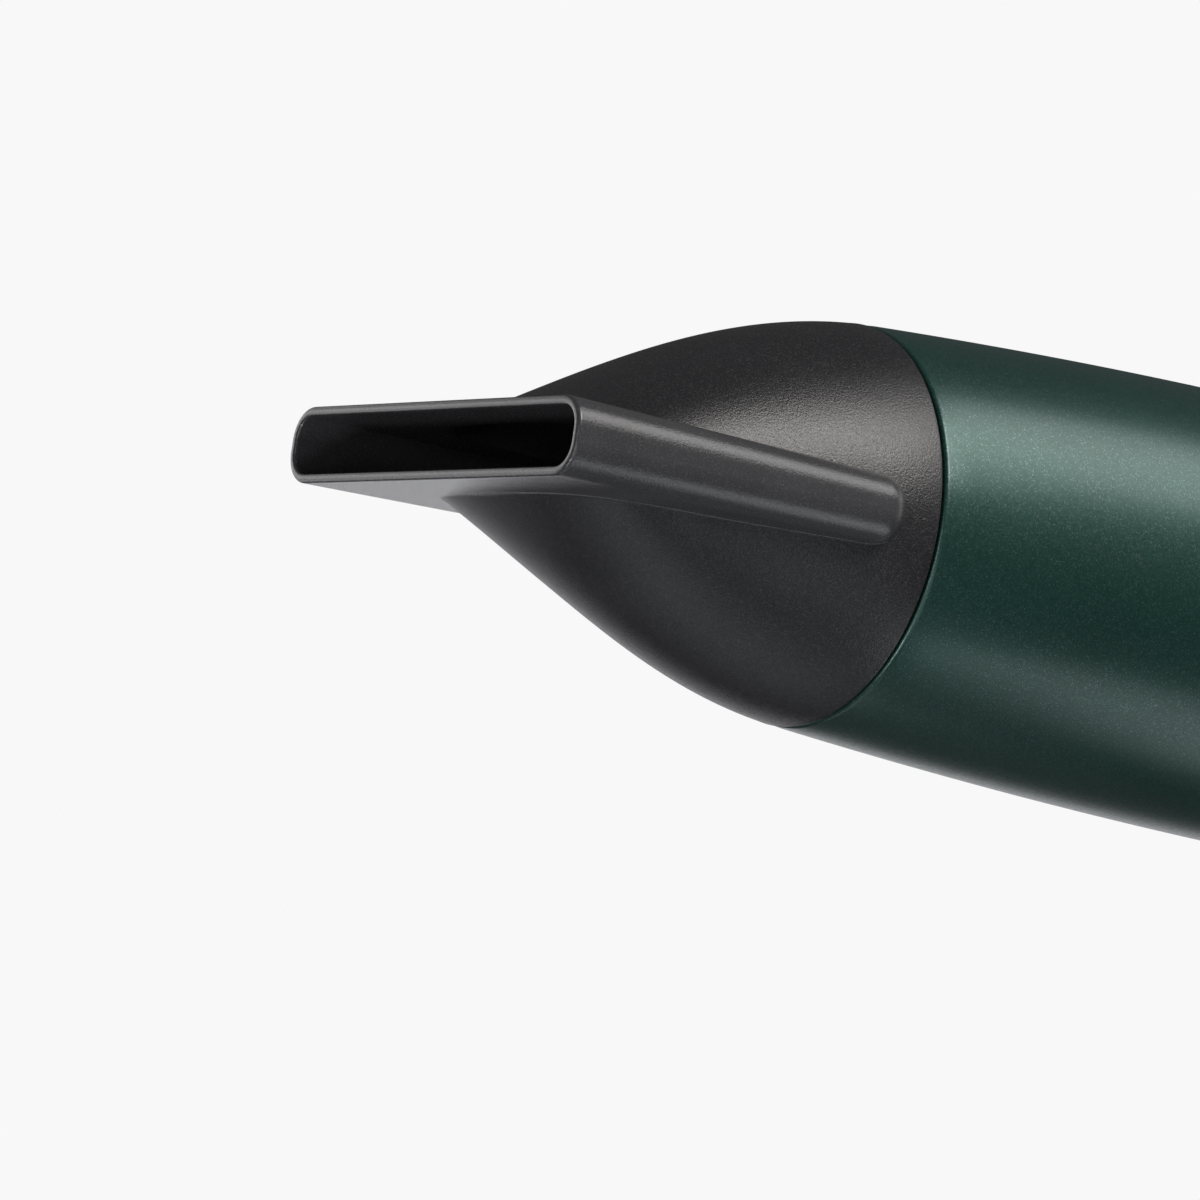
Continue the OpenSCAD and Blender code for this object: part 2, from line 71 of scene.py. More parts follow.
BARREL_LEN, BARREL_WALL, EDGE_R = 170.0, 2.2, 0.8
NOZZLE_LEN, HOOD_LEN, DROOP = 74.9, 62.6, 0.7
SLOT_A, SLOT_B, SLOT_CORNER = 40.9, 6.2, 5.2
BOX_REAR_A, BOX_REAR_B, BOX_REAR_U = 37.6, 5.4, 8.2
NOZZLE_WALL, GROOVE = 1.5, 0.6
HOOD_FRONT_A = 27.0
BOX_END_R = 5.2         # rounding of the flat part's rear ends
FILLET = 0.8            # between the hood and the flat part
GAP_SHIFT = 10.0
LIGHT_AIM, LIGHT_DIST = (0.125, 0.0, 0.165), 0.8    # metres


# ---------------------------------------------------------------- mesh helpers

def new_piece(name, verts, faces, body, mats, smooth=True, replaces=()):
    me = bpy.data.meshes.new(name)
    me.from_pydata([tuple(float(c) * MM for c in v) for v in verts], [], faces)
    me.update()
    if smooth:
        me.polygons.foreach_set("use_smooth", [True] * len(me.polygons))
    ob = bpy.data.objects.new(name, me)
    bpy.context.scene.collection.objects.link(ob)
    for m in mats:
        me.materials.append(m)
    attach(ob, body)
    if replaces:
        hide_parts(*replaces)
    return ob


def tidy_normals(ob, angle=None):
    """Turns the faces outwards, and marks edges sharper than angle."""
    bm = bmesh.new()
    bm.from_mesh(ob.data)
    bmesh.ops.remove_doubles(bm, verts=bm.verts, dist=1e-7)
    bmesh.ops.recalc_face_normals(bm, faces=bm.faces)
    if angle is not None:
        for e in bm.edges:
            if len(e.link_faces) == 2 and e.calc_face_angle(0.0) > math.radians(angle):
                e.smooth = False
    bm.to_mesh(ob.data)
    bm.free()
    ob.data.update()


def skin(rings, close=False):
    """Vertices and quads through equal closed rings. close joins the last ring to the first."""
    n = len(rings[0])
    m = len(rings)
    verts = [p for r in rings for p in r]
    faces = []
    for j in range(m if close else m - 1):
        a, b = j * n, ((j + 1) % m) * n
        for i in range(n):
            k = (i + 1) % n
            faces.append((a + i, a + k, b + k, b + i))
    return verts, faces


def spun(profile, n=256):
    """Rings of a closed profile of (radius, t) turned about the barrel's axis."""
    rings = []
    for r, t in profile:
        rings.append([(FRONT_X - t, r * math.cos(2 * math.pi * i / n),
                       AXIS_H + r * math.sin(2 * math.pi * i / n)) for i in range(n)])
    return rings


# ---------------------------------------------------------------- materials

def material(name):
    m = bpy.data.materials.new(name)
    m.use_nodes = True
    nt = m.node_tree
    nt.nodes.clear()
    out = nt.nodes.new("ShaderNodeOutputMaterial")
    bs = nt.nodes.new("ShaderNodeBsdfPrincipled")
    nt.links.new(bs.outputs[0], out.inputs[0])
    return m, nt, bs


def noise(nt, coord, scale, detail=2.0, rough=0.5):
    n = nt.nodes.new("ShaderNodeTexNoise")
    n.inputs["Scale"].default_value = scale
    n.inputs["Detail"].default_value = detail
    n.inputs["Roughness"].default_value = rough
    nt.links.new(coord, n.inputs["Vector"])
    return n.outputs["Fac"]


def span(nt, value, lo, hi, a=0.3, b=0.7):
    n = nt.nodes.new("ShaderNodeMapRange")
    n.inputs["From Min"].default_value = a
    n.inputs["From Max"].default_value = b
    n.inputs["To Min"].default_value = lo
    n.inputs["To Max"].default_value = hi
    nt.links.new(value, n.inputs["Value"])
    return n.outputs["Result"]


def two_tone(nt, value, c0, c1, a=0.3, b=0.7):
    n = nt.nodes.new("ShaderNodeValToRGB")
    n.color_ramp.elements[0].position = a
    n.color_ramp.elements[1].position = b
    n.color_ramp.elements[0].color = (*c0, 1)
    n.color_ramp.elements[1].color = (*c1, 1)
    nt.links.new(value, n.inputs["Fac"])
    return n.outputs["Color"]


def calc(nt, operation, *values):
    """A math node. Each value is a socket or a number."""
    n = nt.nodes.new("ShaderNodeMath")
    n.operation = operation
    for socket, value in zip(n.inputs, values):
        if isinstance(value, bpy.types.NodeSocket):
            nt.links.new(value, socket)
        else:
            socket.default_value = value
    return n.outputs[0]


def mixed(nt, factor, a, color):
    mix = nt.nodes.new("ShaderNodeMix")
    mix.data_type = "RGBA"
    nt.links.new(factor, mix.inputs["Factor"])
    nt.links.new(a, mix.inputs["A"])
    mix.inputs["B"].default_value = color
    return mix.outputs["Result"]


def mul(c, k):
    return tuple(min(1.0, v * k) for v in c)


def surface(name, color, rough, metallic=0.0, vary=0.2, vary_scale=45.0, rough_vary=0.07,
            rough_scale=180.0, bump=0.0, bump_scale=2500.0, depth=0.05, specular=0.5,
            coat=0.0, coat_rough=0.2, wear=0.0, wear_color=None, stretch=None, rounding=0.22):
    """A surface whose colour, roughness and height all vary. Scales are per metre, depth in mm."""
    m, nt, bs = material(name)
    tc = nt.nodes.new("ShaderNodeTexCoord")
    coord = tc.outputs["Object"]
    if stretch:
        mp = nt.nodes.new("ShaderNodeMapping")
        mp.inputs["Scale"].default_value = stretch
        nt.links.new(coord, mp.inputs["Vector"])
        coord = mp.outputs["Vector"]
    tone = two_tone(nt, noise(nt, coord, vary_scale, 4.0), mul(color, 1 - vary), mul(color, 1 + vary))
    if wear > 0:
        geo = nt.nodes.new("ShaderNodeNewGeometry")
        edge = span(nt, geo.outputs["Pointiness"], 0.0, wear, 0.52, 0.6)
        tone = mixed(nt, edge, tone, (*(wear_color or mul(color, 2.2)), 1))
    nt.links.new(tone, bs.inputs["Base Color"])
    nt.links.new(span(nt, noise(nt, coord, rough_scale, 3.0), max(0.03, rough - rough_vary),
                      min(1.0, rough + rough_vary)), bs.inputs["Roughness"])
    bs.inputs["Metallic"].default_value = metallic
    bs.inputs["Specular IOR Level"].default_value = specular
    if coat:
        bs.inputs["Coat Weight"].default_value = coat
        bs.inputs["Coat Roughness"].default_value = coat_rough
    soft = nt.nodes.new("ShaderNodeBevel")
    soft.samples = 4
    soft.inputs["Radius"].default_value = rounding * MM
    if not bump:
        nt.links.new(soft.outputs[0], bs.inputs["Normal"])
    else:
        bp = nt.nodes.new("ShaderNodeBump")
        nt.links.new(soft.outputs[0], bp.inputs["Normal"])
        bp.inputs["Strength"].default_value = bump
        bp.inputs["Distance"].default_value = depth * MM
        nt.links.new(noise(nt, coord, bump_scale, 2.0), bp.inputs["Height"])
        nt.links.new(bp.outputs["Normal"], bs.inputs["Normal"])
    return m


def glints(nt, coord, most, start):
    """Few and very small cells that reflect more than the rest, 0 elsewhere."""
    cells = nt.nodes.new("ShaderNodeTexVoronoi")
    cells.inputs["Scale"].default_value = 6500.0
    nt.links.new(coord, cells.inputs["Vector"])
    sep = nt.nodes.new("ShaderNodeSeparateColor")
    nt.links.new(cells.outputs["Color"], sep.inputs[0])
    return span(nt, sep.outputs[0], 0.0, most, start, 1.0)


def nozzle_plastic():
    """Moulded black plastic: an etched grain on the hood, smoother on the flat part."""
    m, nt, bs = material("moulded_black")
    tc = nt.nodes.new("ShaderNodeTexCoord")
    coord = tc.outputs["Object"]
    # The gap is how far the hood stands over the flat part: its sign tells them apart, 0 is their
    # junction. It is stored less GAP_SHIFT, so that a mesh without it counts as all hood.
    attr = nt.nodes.new("ShaderNodeAttribute")
    attr.attribute_name = "gap"
    gap = calc(nt, "ADD", attr.outputs["Fac"], GAP_SHIFT)
    grain = span(nt, gap, 0.0, 1.0, -0.6, 0.6)
    # junction is the mask of a thin band round the hood's join with the flat part, where a highlight is
    # painted further down.
    junction = span(nt, calc(nt, "ABSOLUTE", gap), 1.0, 0.0, 0.08, 0.4)
    base = two_tone(nt, noise(nt, coord, 60.0, 4.0), (0.0112, 0.0108, 0.0124), (0.0165, 0.016, 0.018))
    paler = two_tone(nt, noise(nt, coord, 60.0, 4.0), (0.036, 0.0355, 0.038), (0.046, 0.0455, 0.049))
    both = nt.nodes.new("ShaderNodeMix")
    both.data_type = "RGBA"
    nt.links.new(grain, both.inputs["Factor"])
    nt.links.new(paler, both.inputs["A"])
    nt.links.new(base, both.inputs["B"])
    # Painted highlight: a lighter grey line along the junction of the hood and the flat part stands in for
    # the light that the concave fillet there catches.
    painted_highlight = calc(nt, "MULTIPLY", junction, span(nt, noise(nt, coord, 220.0, 2.0), 0.35, 0.9, 0.35, 0.65))
    line = mixed(nt, painted_highlight, both.outputs["Result"], (0.17, 0.165, 0.165, 1))
    spark = glints(nt, coord, 0.13, 0.8)
    nt.links.new(mixed(nt, spark, line, (0.36, 0.35, 0.35, 1)), bs.inputs["Base Color"])
    nt.links.new(spark, bs.inputs["Metallic"])
    fine = noise(nt, coord, 4300.0, 2.0, 0.6)
    rough = calc(nt, "ADD", span(nt, fine, 0.27, 0.4), span(nt, grain, -0.12, -0.02, 0.0, 1.0))
    nt.links.new(rough, bs.inputs["Roughness"])
    bs.inputs["Specular IOR Level"].default_value = 0.5
    vor = nt.nodes.new("ShaderNodeTexVoronoi")
    vor.inputs["Scale"].default_value = 2500.0
    nt.links.new(coord, vor.inputs["Vector"])
    height = calc(nt, "MULTIPLY_ADD", vor.outputs["Distance"], 0.5, fine)
    bp = nt.nodes.new("ShaderNodeBump")
    bp.inputs["Strength"].default_value = 0.75
    bp.inputs["Distance"].default_value = 0.075 * MM
    nt.links.new(calc(nt, "MULTIPLY", height, span(nt, grain, 0.6, 1.1, 0.0, 1.0)), bp.inputs["Height"])
    nt.links.new(bp.outputs["Normal"], bs.inputs["Normal"])
    return m


def flake_paint():
    """Satin paint with very fine metal flake in it."""
    m, nt, bs = material("green_flake_paint")
    tc = nt.nodes.new("ShaderNodeTexCoord")
    coord = tc.outputs["Object"]
    flake = nt.nodes.new("ShaderNodeTexVoronoi")
    flake.inputs["Scale"].default_value = 3000.0
    nt.links.new(coord, flake.inputs["Vector"])
    sep = nt.nodes.new("ShaderNodeSeparateColor")
    nt.links.new(flake.outputs["Color"], sep.inputs[0])
    tone = two_tone(nt, sep.outputs[0], (0.0075, 0.044, 0.0345), (0.011, 0.0565, 0.0445), 0.1, 0.95)
    cloud = two_tone(nt, noise(nt, coord, 30.0, 3.0), (0.88, 0.88, 0.88), (1, 1, 1))
    mix = nt.nodes.new("ShaderNodeMix")
    mix.data_type = "RGBA"
    mix.blend_type = "MULTIPLY"
    mix.inputs["Factor"].default_value = 1.0
    nt.links.new(tone, mix.inputs["A"])
    nt.links.new(cloud, mix.inputs["B"])
    # a few of the flakes lie so that they catch the light
    spark = glints(nt, coord, 0.32, 0.87)
    nt.links.new(mixed(nt, spark, mix.outputs["Result"], (0.26, 0.34, 0.36, 1)), bs.inputs["Base Color"])
    nt.links.new(calc(nt, "ADD", spark, 0.49), bs.inputs["Metallic"])
    bs.inputs["Coat Weight"].default_value = 0.4
    bs.inputs["Coat Roughness"].default_value = 0.27
    nt.links.new(span(nt, sep.outputs[1], 0.3, 0.42, 0.0, 1.0), bs.inputs["Roughness"])
    bp = nt.nodes.new("ShaderNodeBump")
    bp.inputs["Strength"].default_value = 0.3
    bp.inputs["Distance"].default_value = 0.03 * MM
    nt.links.new(sep.outputs[2], bp.inputs["Height"])
    nt.links.new(bp.outputs["Normal"], bs.inputs["Normal"])
    return m


M = {
    "nozzle_black": nozzle_plastic(),
    "green_paint": flake_paint(),
    "inner_black": surface("inner_black", (0.014, 0.014, 0.015), 0.5, bump=0.35, bump_scale=2600,
                           depth=0.04),
    "trim_black": surface("trim_black", (0.016, 0.016, 0.0165), 0.44, bump=0.4, bump_scale=3000,
                          depth=0.04, wear=0.5, wear_color=(0.06, 0.06, 0.06)),
    "panel_black": surface("panel_black", (0.01, 0.01, 0.011), 0.22, rough_vary=0.05, bump=0.1,
                           bump_scale=900, depth=0.02, coat=0.3, coat_rough=0.1),
    "bright_steel": surface("bright_steel", (0.56, 0.56, 0.57), 0.3, metallic=1.0, vary=0.1, bump=0.3,
                            bump_scale=1500, depth=0.02, stretch=(1, 12, 12)),
    "motor_steel": surface("motor_steel", (0.42, 0.43, 0.44), 0.38, metallic=1.0, vary=0.14, bump=0.3,
                           bump_scale=1200, depth=0.02),
    "screw_steel": surface("screw_steel", (0.38, 0.38, 0.4), 0.35, metallic=1.0, vary=0.15, bump=0.3,
                           bump_scale=2400, depth=0.02, wear=0.4, wear_color=(0.75, 0.75, 0.75)),
    "mesh_steel": surface("mesh_steel", (0.4, 0.4, 0.41), 0.35, metallic=1.0, bump=0.3, bump_scale=3000,
                          depth=0.02),
    "magnet": surface("magnet", (0.09, 0.09, 0.095), 0.55, metallic=0.6, bump=0.5, bump_scale=3500,
                      depth=0.03),
    "mica": surface("mica", (0.46, 0.37, 0.24), 0.34, vary=0.25, vary_scale=260, bump=0.4,
                    bump_scale=700, depth=0.04, coat=0.35, coat_rough=0.15),
    "heating_wire": surface("heating_wire", (0.25, 0.22, 0.2), 0.42, metallic=1.0, vary=0.3,
                            vary_scale=300, bump=0.3, bump_scale=4000, depth=0.02),
    "fuse_white": surface("fuse_white", (0.72, 0.7, 0.66), 0.25, vary=0.05, bump=0.15, bump_scale=900,
                          depth=0.02),
    "rubber_grey": surface("rubber_grey", (0.03, 0.03, 0.031), 0.7, bump=0.5, bump_scale=1800,
                           depth=0.05),
    "bronze": surface("bronze", (0.5, 0.32, 0.13), 0.45, metallic=1.0, bump=0.5, bump_scale=5000,
                      depth=0.03),
    "carbon": surface("carbon", (0.03, 0.03, 0.032), 0.6, metallic=0.3, bump=0.5, bump_scale=4000,
                      depth=0.03),
    "copper": surface("copper", (0.62, 0.24, 0.12), 0.28, metallic=1.0, vary=0.18, vary_scale=400,
                      bump=0.4, bump_scale=2600, depth=0.04, coat=0.3, coat_rough=0.1,
                      stretch=(10, 1, 1)),
    "fan_grey": surface("fan_grey", (0.075, 0.076, 0.08), 0.48, bump=0.3, bump_scale=2000, depth=0.03),
    "knob_grey": surface("knob_grey", (0.16, 0.165, 0.165), 0.42, vary=0.1, bump=0.35, bump_scale=3200,
                         depth=0.03, wear=0.5, wear_color=(0.34, 0.34, 0.34)),
    "board_green": surface("board_green", (0.012, 0.085, 0.035), 0.3, vary=0.3, vary_scale=500,
                           bump=0.3, bump_scale=900, depth=0.03, coat=0.4, coat_rough=0.15),
    "switch_black": surface("switch_black", (0.02, 0.02, 0.021), 0.4, bump=0.3, bump_scale=2200,
                            depth=0.03),
    "mark_white": surface("mark_white", (0.62, 0.62, 0.6), 0.45, vary=0.06, bump=0.2, bump_scale=3000,
                          depth=0.01),
    "lead_red": surface("lead_red", (0.36, 0.02, 0.016), 0.42, bump=0.2, bump_scale=2000, depth=0.02),
}
slot_of = {s["node"]: s["material_slot"] for s in frame["record"]["subparts"]}
for name, ob in frame["nodes"].items():
    for ms in ob.material_slots:
        ms.material = M[slot_of[name]]
    if not ob.material_slots:
        ob.data.materials.append(M[slot_of[name]])


# ---------------------------------------------------------------- shapes of the nozzle and barrel

def barrel_r(t):
    return FRONT_R + FLARE * (1 - (1 - min(t, FLARE_LEN) / FLARE_LEN) ** 2)


def lerp(a, b, s):
    return a + (b - a) * s


def smooth(s):
    return s * s * (3 - 2 * s)


def soft_max(a, b, k):
    """The larger of a and b, with a fillet about k wide where they cross."""
    h = np.clip(0.5 + 0.5 * (a - b) / k, 0, 1)
    return b * (1 - h) + a * h + k * h * (1 - h)


def hood_sizes(u, inset):
    s = max(0.0, u) / HOOD_LEN
    b = lerp(FRONT_R, SLOT_B, 0.23 * s + 0.96 * s * s - 0.19 * s ** 3) - inset
    a = lerp(FRONT_R, HOOD_FRONT_A, smooth(min(1, s / 0.66))) - inset
    return a, b


def ellipse_r(ang, a, b):
    if b <= 0.05:
        return np.zeros_like(ang)
    return 1 / np.sqrt((np.cos(ang) / a) ** 2 + (np.sin(ang) / b) ** 2)


def box_r(ang, a, b, rc):
    """Distance from the centre to a rounded rectangle, in each direction."""
    rc = max(0.05, min(rc, a - 0.05, b - 0.05))
    c, s = np.abs(np.cos(ang)) + 1e-9, np.abs(np.sin(ang)) + 1e-9
    side, top = a / c, b / s
    d = c * (a - rc) + s * (b - rc)
    disc = np.maximum(0, d * d - (a - rc) ** 2 - (b - rc) ** 2 + rc * rc)
    corner = d + np.sqrt(disc)
    r = np.where(side * s <= b - rc, side, np.where(top * c <= a - rc, top, corner))
    return r


def box_sizes(u, inset):
    share = (u - BOX_REAR_U) / (NOZZLE_LEN - BOX_REAR_U)
    a, b = lerp(BOX_REAR_A, SLOT_A, share), lerp(BOX_REAR_B, SLOT_B, share)
    start = BOX_REAR_U + inset
    w = (u - start) / BOX_END_R
    c = BOX_END_R * (1 - math.sqrt(1 - (1 - max(0.0, w)) ** 2)) if w < 1 else 0.0
    c += 2.0 * max(0.0, start - u)
    b -= 0.4 * c
    return a - inset - c, max(0.7, b - inset), max(0.6, min(SLOT_CORNER, b - 0.3) - inset)


# angles round the nozzle's axis, closer together at the flat part's ends
n_ang = 480
full_turn = np.linspace(-math.pi, math.pi, 20001)
from_end = np.minimum(np.abs(full_turn), math.pi - np.abs(full_turn))
dense = 0.16 + np.exp(-(from_end / 0.21) ** 2)
cum = np.concatenate([[0], np.cumsum((dense[1:] + dense[:-1]) / 2)])
angs = np.interp(np.arange(n_ang) / n_ang * cum[-1], cum, full_turn)


def section(u, inset):
    """Radii of the nozzle's section at u, and how far the hood stands over the flat part there."""
    hood = ellipse_r(angs, *hood_sizes(u, inset)) if u < HOOD_LEN + 6 else np.zeros_like(angs)
    box = box_r(angs, *box_sizes(u, inset))
    return soft_max(hood, box, FILLET), np.clip(hood - box, -4, 4)


def ring_at(u, r):
    z = AXIS_H - DROOP * max(0.0, u) / NOZZLE_LEN
    return [(FRONT_X + u, r[i] * math.cos(angs[i]), z + r[i] * math.sin(angs[i])) for i in range(n_ang)]


def nozzle_skin():
    rings, gap = [], []

    def add(u, r, g):
        rings.append(ring_at(u, r))
        gap.append(g)

    # rear edge, rounded, then the outside to just short of the rim
    for k in range(4):
        q = math.pi / 2 * k / 3
        r, g = section(0.3, 0.35 * (1 - math.sin(q)))
        add(GROOVE / 2 + 0.35 * (1 - math.cos(q)), r, g)
    us = list(np.linspace(1.0, BOX_REAR_U, 14)) + \
        [BOX_REAR_U + BOX_END_R * (1 - math.cos(math.pi / 2 * k / 22)) for k in range(1, 23)] + \
        list(np.linspace(BOX_REAR_U + 5.7, 52, 56)) + list(np.linspace(52.5, 70, 56)) + \
        list(np.linspace(70.4, NOZZLE_LEN - 0.65, 10))
    for u in us:
        r, g = section(u, 0)
        add(u, r, g)
    # the slot's rim, rounded outside and inside
    for k in range(1, 7):
        q = math.pi / 2 * k / 6
        r, g = section(NOZZLE_LEN, 0.7 * (1 - math.cos(q)))
        add(NOZZLE_LEN - 0.6 + 0.6 * math.sin(q), r, g)
    for k in range(0, 6):
        q = math.pi / 2 * k / 5
        r, g = section(NOZZLE_LEN, NOZZLE_WALL - 0.5 * (1 - math.sin(q)))
        add(NOZZLE_LEN - 0.5 * (1 - math.cos(q)), r, g)
    inside = list(np.linspace(NOZZLE_LEN - 2, HOOD_LEN, 8)) + \
        list(np.linspace(HOOD_LEN - 1.5, 3.0, 60)) + [0.9]
    for u in inside:
        r, g = section(u, NOZZLE_WALL)
        add(u, r, np.full_like(g, -4.0))
    verts, faces = skin(rings, close=True)
    ob = new_piece("nozzle_skin", verts, faces, "nozzle", [M["nozzle_black"]],
                   replaces=("nozzle_shell",))
    at = ob.data.attributes.new("gap", "FLOAT", "POINT")
    at.data.foreach_set("value", (np.concatenate(gap) - GAP_SHIFT).astype(np.float32))


nozzle_skin()


def barrel_skin():
    prof = []
    for k in range(9):
        q = math.pi / 2 * k / 8
        prof.append((barrel_r(0) - EDGE_R * (1 - math.sin(q)), GROOVE / 2 + EDGE_R * (1 - math.cos(q))))
    for k in range(1, 61):
        t = BARREL_LEN * k / 60
        prof.append((barrel_r(t) - (0.25 if k == 60 else 0), t))
    for k in range(60, -1, -3):
        t = max(GROOVE / 2, BARREL_LEN * k / 60)
        prof.append((barrel_r(t) - BARREL_WALL, t))
    verts, faces = skin(spun(prof, 288), close=True)
    new_piece("barrel_skin", verts, faces, "dryer", [M["green_paint"]],
              replaces=("barrel_shell",))


barrel_skin()


# ---------------------------------------------------------------- CAD nodes that stay: smooth shading

def shade_group():
    """Welds a mesh and shades it smooth except at edges sharper than 32 degrees."""
    g = bpy.data.node_groups.new("shade_by_angle", "GeometryNodeTree")
    g.interface.new_socket("Geometry", in_out="INPUT", socket_type="NodeSocketGeometry")
    g.interface.new_socket("Geometry", in_out="OUTPUT", socket_type="NodeSocketGeometry")
    first, last = g.nodes.new("NodeGroupInput"), g.nodes.new("NodeGroupOutput")
    weld = g.nodes.new("GeometryNodeMergeByDistance")
    weld.inputs["Distance"].default_value = 2e-6
    faces = g.nodes.new("GeometryNodeSetShadeSmooth")
    faces.domain = "FACE"
    edges = g.nodes.new("GeometryNodeSetShadeSmooth")
    edges.domain = "EDGE"
    edges.inputs["Shade Smooth"].default_value = False
    angle = g.nodes.new("GeometryNodeInputMeshEdgeAngle")
    sharp = g.nodes.new("FunctionNodeCompare")
    sharp.operation = "GREATER_THAN"
    sharp.inputs["B"].default_value = math.radians(32)
    g.links.new(first.outputs[0], weld.inputs["Geometry"])
    g.links.new(weld.outputs["Geometry"], faces.inputs["Geometry"])
    g.links.new(faces.outputs["Geometry"], edges.inputs["Geometry"])
    g.links.new(angle.outputs["Unsigned Angle"], sharp.inputs["A"])
    g.links.new(sharp.outputs["Result"], edges.inputs["Selection"])
    g.links.new(edges.outputs["Geometry"], last.inputs[0])
    return g


shading = shade_group()
for ob in frame["nodes"].values():
    ob.modifiers.new("shading", "NODES").node_group = shading


# ---------------------------------------------------------------- solids and cuts

def solid(verts, faces):
    """A working mesh object for a cut. It is removed afterwards."""
    me = bpy.data.meshes.new("working")
    me.from_pydata([tuple(float(c) * MM for c in v) for v in verts], [], faces)
    bm = bmesh.new()
    bm.from_mesh(me)
    bmesh.ops.recalc_face_normals(bm, faces=bm.faces)
    bm.to_mesh(me)
    bm.free()
    ob = bpy.data.objects.new("working", me)
    bpy.context.scene.collection.objects.link(ob)
    return ob


def cut(ob, *steps):
    """Each step is (operation, working object). The result replaces ob's mesh."""
    for op, tool in steps:
        mod = ob.modifiers.new("cut", "BOOLEAN")
        mod.operation = op
        mod.solver = "EXACT"
        mod.object = tool
        bpy.context.view_layer.update()
        done = bpy.data.meshes.new_from_object(ob.evaluated_get(bpy.context.evaluated_depsgraph_get()))
        ob.modifiers.clear()
        old = ob.data
        ob.data = done
        bpy.data.meshes.remove(old)
        bpy.data.objects.remove(tool)
    return ob


def finish_piece(ob, name, body, mat, replaces=(), angle=32):
    """Turns a working object into a named piece with smooth shading and one material."""
    ob.name = name
    ob.data.name = name
    ob.data.materials.clear()
    ob.data.materials.append(mat)
    ob.data.polygons.foreach_set("material_index", [0] * len(ob.data.polygons))
    ob.data.polygons.foreach_set("use_smooth", [True] * len(ob.data.polygons))
    tidy_normals(ob, angle)
    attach(ob, body)
    if replaces:
        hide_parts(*replaces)
    return ob


def capped(rings):
    """A closed solid through rings of points, with a flat face on each end."""
    verts, faces = skin(rings)
    n = len(rings[0])
    faces.append(tuple(range(n)))
    faces.append(tuple(range((len(rings) - 1) * n, len(rings) * n)))
    return verts, faces


def block(x0, x1, y0, y1, z0, z1):
    return capped([[(x, y0, z0), (x, y1, z0), (x, y1, z1), (x, y0, z1)] for x in (x0, x1)])


def circle(place, r, h, n):
    return [place(r * math.cos(2 * math.pi * i / n), r * math.sin(2 * math.pi * i / n), h) for i in range(n)]


def turned(profile, place, n=96):
    """A solid of revolution. profile is (radius, height) pairs and closes on itself.

    place maps (x, y, height) to a point."""
    return skin([circle(place, r, h, n) for r, h in profile], close=True)


def rod(place, r, h0, h1, n=48):
    return capped([circle(place, r, h, n) for h in (h0, h1)])


def along_x(cx, cy, cz, sign=1):
    """Heights run along X from cx; for rods and turned shapes."""
    return lambda a, b, h: (cx + sign * h, cy + a, cz + b)


def on_barrel(a, b, h):
    """Heights are distances behind the joint, round the barrel's axis."""
    return (FRONT_X - h, a, AXIS_H + b)


def joined(parts):
    """Several (verts, faces) as one."""
    verts, faces = [], []
    for v, f in parts:
        k = len(verts)
        verts += list(v)
        faces += [tuple(i + k for i in q) for q in f]
    return verts, faces


def tube(path, r, n=8):
    """A closed tube along a path of points."""
    p = np.array(path, float)
    t = np.gradient(p, axis=0)
    t /= np.linalg.norm(t, axis=1)[:, None]
    side = np.cross(t[0], (0.3, 0.5, 0.8))
    rings = []
    for q, d in zip(p, t):
        side = side - d * np.dot(side, d)
        side /= np.linalg.norm(side)
        up = np.cross(d, side)
        rings.append([tuple(q + r * (math.cos(a) * side + math.sin(a) * up))
                      for a in (2 * math.pi * i / n for i in range(n))])
    return capped(rings)


# ---------------------------------------------------------------- handle

GRIP_Z0, GRIP_Z1 = 10.3, 146.0
E = 0.85                # exponent of the grip's rounded section


def grip_ab(z, inset):
    s = (z - GRIP_Z0) / (GRIP_Z1 - GRIP_Z0)
    k = max(0.0, s) ** 7
    return 16.5 + 2 * s + 5 * k - inset, 14.2 + 1.6 * s + 2.5 * k - inset


def grip_point(c, s, z, inset):
    a, b = grip_ab(z, inset)
    return a * math.copysign(abs(c) ** E, c), b * math.copysign(abs(s) ** E, s)


def grip_depth(y, z, inset):
    """How far the grip's surface is from the plane x = 0, at y and z."""
    a, b = grip_ab(z, inset)
    return a * max(0.0, 1 - (abs(y) / b) ** (2 / E)) ** (E / 2)


def grip_solid(inset, z0, z1, rings=60, n=160):
    return capped([[(*grip_point(math.cos(2 * math.pi * i / n), math.sin(2 * math.pi * i / n), z, inset), z)
                    for i in range(n)] for z in np.linspace(z0, z1, rings)])


def stadium(r, x0, x1, z0=62.0, z1=98.0, n=24):
    out = [(r * math.cos(math.pi * k / n), z1 + r * math.sin(math.pi * k / n)) for k in range(n + 1)] + \
          [(-r * math.cos(math.pi * k / n), z0 - r * math.sin(math.pi * k / n)) for k in range(n + 1)]
    return capped([[(x, y, z) for y, z in out] for x in (x0, x1)])


